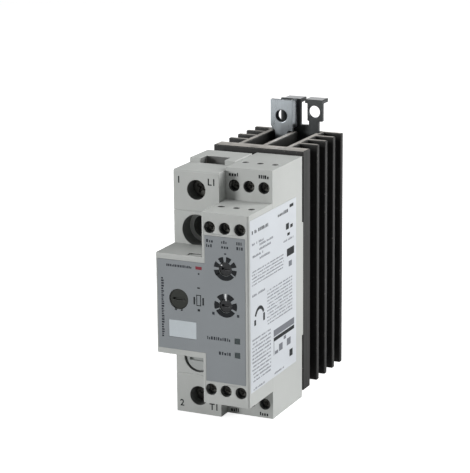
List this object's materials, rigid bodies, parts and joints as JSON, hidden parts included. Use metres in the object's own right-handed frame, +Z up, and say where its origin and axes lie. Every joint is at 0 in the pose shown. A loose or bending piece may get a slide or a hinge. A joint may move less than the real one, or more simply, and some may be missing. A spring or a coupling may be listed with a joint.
{
  "type": "solid state relay",
  "caption": "Two module wide solid state relay on a finned heatsink with a rail latch, stepped front nose, rotary selectors and screw terminals.",
  "frame": {"origin": "middle of the footprint, at the height of the underside", "axes": "+Z up along the heatsink's fins, +Y from the front nose towards the mounting rail, +X to the right seen from the front"},
  "size_m": [0.0356, 0.089, 0.1044],
  "materials": {
    "housing_plastic": "fine moulded texture, light grey",
    "plug_plastic": "fine moulded texture, light grey",
    "overlay_film": "matt printed film, mid grey",
    "label_film": "matt printed label",
    "tag_plastic": "smooth white plastic",
    "terminal_plastic": "dark grey glass filled plastic",
    "black_plastic": "black moulded plastic",
    "switch_plastic": "black moulded plastic",
    "trimmer_plastic": "dark olive black plastic",
    "trimmer_blue": "blue moulded plastic",
    "clear_plastic": "clear light guide",
    "led_lens": "tinted lens",
    "anodised_aluminium": "black anodised extrusion",
    "zinc_steel": "bright zinc plated sheet",
    "latch_steel": "dark blued spring steel",
    "spring_steel": "drawn spring wire",
    "screw_steel": "zinc plated steel",
    "copper": "bare rolled copper",
    "tinned_brass": "tinned brass",
    "thermal_film": "grey thermal interface film",
    "alumina": "white alumina",
    "silicon": "metallised silicon",
    "circuit_board": "green solder mask",
    "film_capacitor": "yellow moulded box",
    "varistor_coating": "blue epoxy",
    "capacitor_sleeve": "dark blue sleeve",
    "relay_case": "orange moulded case",
    "transformer_core": "ferrite core and taped winding"
  },
  "bodies": {
    "relay": {"heatsink": "anodised_aluminium", "rail_bracket": "zinc_steel", "latch_spring": "spring_steel", "bracket_screws": "screw_steel", "module_screws": "screw_steel", "access_plug": "plug_plastic", "power_housing": "housing_plastic", "base_plate": "copper", "thermal_pad": "thermal_film", "ceramic_substrate": "alumina", "thyristor_chips": "silicon", "line_busbar": "copper", "load_busbar": "copper", "trigger_board": "circuit_board", "optocoupler": "black_plastic", "snubber_capacitor": "film_capacitor", "varistor": "varistor_coating", "gate_pins": "tinned_brass", "control_housing": "housing_plastic", "inner_lid": "housing_plastic", "control_board": "circuit_board", "front_board": "circuit_board", "board_header": "black_plastic", "link_header": "black_plastic", "microcontroller": "black_plastic", "transformer": "transformer_core", "capacitors": "capacitor_sleeve", "alarm_relay": "relay_case", "front_cover": "housing_plastic", "front_overlay": "overlay_film", "side_label": "label_film", "selector_bodies": "black_plastic", "trimmer_body": "trimmer_blue", "indicator_leds": "led_lens", "light_guides": "clear_plastic", "nose_terminals": "terminal_plastic", "rear_terminals": "terminal_plastic", "terminal_clamps": "screw_steel", "terminal_contacts": "tinned_brass"},
    "latch": {"rail_latch": "latch_steel"},
    "upper_selector": {"upper_selector_knob": "switch_plastic"},
    "lower_selector": {"lower_selector_knob": "switch_plastic"},
    "trimmer": {"trimmer_knob": "trimmer_plastic"},
    "line_screw_body": {"line_screw": "screw_steel"},
    "line_clamp_body": {"line_clamp": "screw_steel"},
    "load_screw_body": {"load_screw": "screw_steel"},
    "load_clamp_body": {"load_clamp": "screw_steel"},
    "marker": {"marker_tag": "tag_plastic"},
    "upper_nose_screw_1_body": {"upper_nose_screw_1": "screw_steel"},
    "upper_nose_screw_2_body": {"upper_nose_screw_2": "screw_steel"},
    "upper_nose_screw_3_body": {"upper_nose_screw_3": "screw_steel"},
    "lower_nose_screw_1_body": {"lower_nose_screw_1": "screw_steel"},
    "lower_nose_screw_2_body": {"lower_nose_screw_2": "screw_steel"},
    "lower_nose_screw_3_body": {"lower_nose_screw_3": "screw_steel"},
    "upper_rear_screw_1_body": {"upper_rear_screw_1": "screw_steel"},
    "upper_rear_screw_2_body": {"upper_rear_screw_2": "screw_steel"},
    "upper_rear_screw_3_body": {"upper_rear_screw_3": "screw_steel"},
    "lower_rear_screw_1_body": {"lower_rear_screw_1": "screw_steel"},
    "lower_rear_screw_2_body": {"lower_rear_screw_2": "screw_steel"},
    "lower_rear_screw_3_body": {"lower_rear_screw_3": "screw_steel"}
  },
  "joints": [
    {"name": "latch_slide", "type": "slide", "parent": "relay", "child": "latch", "axis": [0, 0, 1], "range_m": [0, 0.004], "stiffness_N_per_m": 400, "springref_m": -0.004, "deforming": ["latch_spring"]},
    {"name": "upper_selector_turn", "type": "hinge", "parent": "relay", "child": "upper_selector", "pos_m": [0.00905, -0.04413, 0.0596], "axis": [0, 1, 0], "continuous": true},
    {"name": "lower_selector_turn", "type": "hinge", "parent": "relay", "child": "lower_selector", "pos_m": [0.00905, -0.04413, 0.0465], "axis": [0, 1, 0], "continuous": true},
    {"name": "trimmer_turn", "type": "hinge", "parent": "relay", "child": "trimmer", "pos_m": [-0.00895, -0.04413, 0.0469], "axis": [0, 1, 0], "range_deg": [-135, 135]},
    {"name": "line_screw_turn", "type": "hinge", "parent": "relay", "child": "line_screw_body", "pos_m": [-0.0089, -0.02523, 0.0826], "axis": [0, 1, 0], "range_deg": [0, 2263]},
    {"name": "line_clamp_slide", "type": "slide", "parent": "relay", "child": "line_clamp_body", "axis": [0, -1, 0], "range_m": [0, 0.0044]},
    {"name": "load_screw_turn", "type": "hinge", "parent": "relay", "child": "load_screw_body", "pos_m": [-0.0089, -0.02523, 0.0068], "axis": [0, 1, 0], "range_deg": [0, 2263]},
    {"name": "load_clamp_slide", "type": "slide", "parent": "relay", "child": "load_clamp_body", "axis": [0, -1, 0], "range_m": [0, 0.0044]},
    {"name": "marker_slide", "type": "slide", "parent": "relay", "child": "marker", "axis": [0, -1, 0], "range_m": [0, 0.012]},
    {"name": "upper_nose_screw_1_turn", "type": "hinge", "parent": "relay", "child": "upper_nose_screw_1_body", "pos_m": [0.0032, -0.04223, 0.0738], "axis": [0, 1, 0], "range_deg": [0, 2160]},
    {"name": "upper_nose_screw_2_turn", "type": "hinge", "parent": "relay", "child": "upper_nose_screw_2_body", "pos_m": [0.0089, -0.04223, 0.0738], "axis": [0, 1, 0], "range_deg": [0, 2160]},
    {"name": "upper_nose_screw_3_turn", "type": "hinge", "parent": "relay", "child": "upper_nose_screw_3_body", "pos_m": [0.0146, -0.04223, 0.0738], "axis": [0, 1, 0], "range_deg": [0, 2160]},
    {"name": "lower_nose_screw_1_turn", "type": "hinge", "parent": "relay", "child": "lower_nose_screw_1_body", "pos_m": [0.0032, -0.04223, 0.0156], "axis": [0, 1, 0], "range_deg": [0, 2160]},
    {"name": "lower_nose_screw_2_turn", "type": "hinge", "parent": "relay", "child": "lower_nose_screw_2_body", "pos_m": [0.0089, -0.04223, 0.0156], "axis": [0, 1, 0], "range_deg": [0, 2160]},
    {"name": "lower_nose_screw_3_turn", "type": "hinge", "parent": "relay", "child": "lower_nose_screw_3_body", "pos_m": [0.0146, -0.04223, 0.0156], "axis": [0, 1, 0], "range_deg": [0, 2160]},
    {"name": "upper_rear_screw_1_turn", "type": "hinge", "parent": "relay", "child": "upper_rear_screw_1_body", "pos_m": [0.0032, -0.02213, 0.0842], "axis": [0, 1, 0], "range_deg": [0, 2160]},
    {"name": "upper_rear_screw_2_turn", "type": "hinge", "parent": "relay", "child": "upper_rear_screw_2_body", "pos_m": [0.0089, -0.02213, 0.0842], "axis": [0, 1, 0], "range_deg": [0, 2160]},
    {"name": "upper_rear_screw_3_turn", "type": "hinge", "parent": "relay", "child": "upper_rear_screw_3_body", "pos_m": [0.0146, -0.02213, 0.0842], "axis": [0, 1, 0], "range_deg": [0, 2160]},
    {"name": "lower_rear_screw_1_turn", "type": "hinge", "parent": "relay", "child": "lower_rear_screw_1_body", "pos_m": [0.0032, -0.02213, 0.0052], "axis": [0, 1, 0], "range_deg": [0, 2160]},
    {"name": "lower_rear_screw_2_turn", "type": "hinge", "parent": "relay", "child": "lower_rear_screw_2_body", "pos_m": [0.0089, -0.02213, 0.0052], "axis": [0, 1, 0], "range_deg": [0, 2160]},
    {"name": "lower_rear_screw_3_turn", "type": "hinge", "parent": "relay", "child": "lower_rear_screw_3_body", "pos_m": [0.0146, -0.02213, 0.0052], "axis": [0, 1, 0], "range_deg": [0, 2160]}
  ],
  "couplings": [
    {"joint": "line_screw_turn", "follows": "line_clamp_slide", "rad_per_m": 8976},
    {"joint": "load_screw_turn", "follows": "load_clamp_slide", "rad_per_m": 8976}
  ]
}
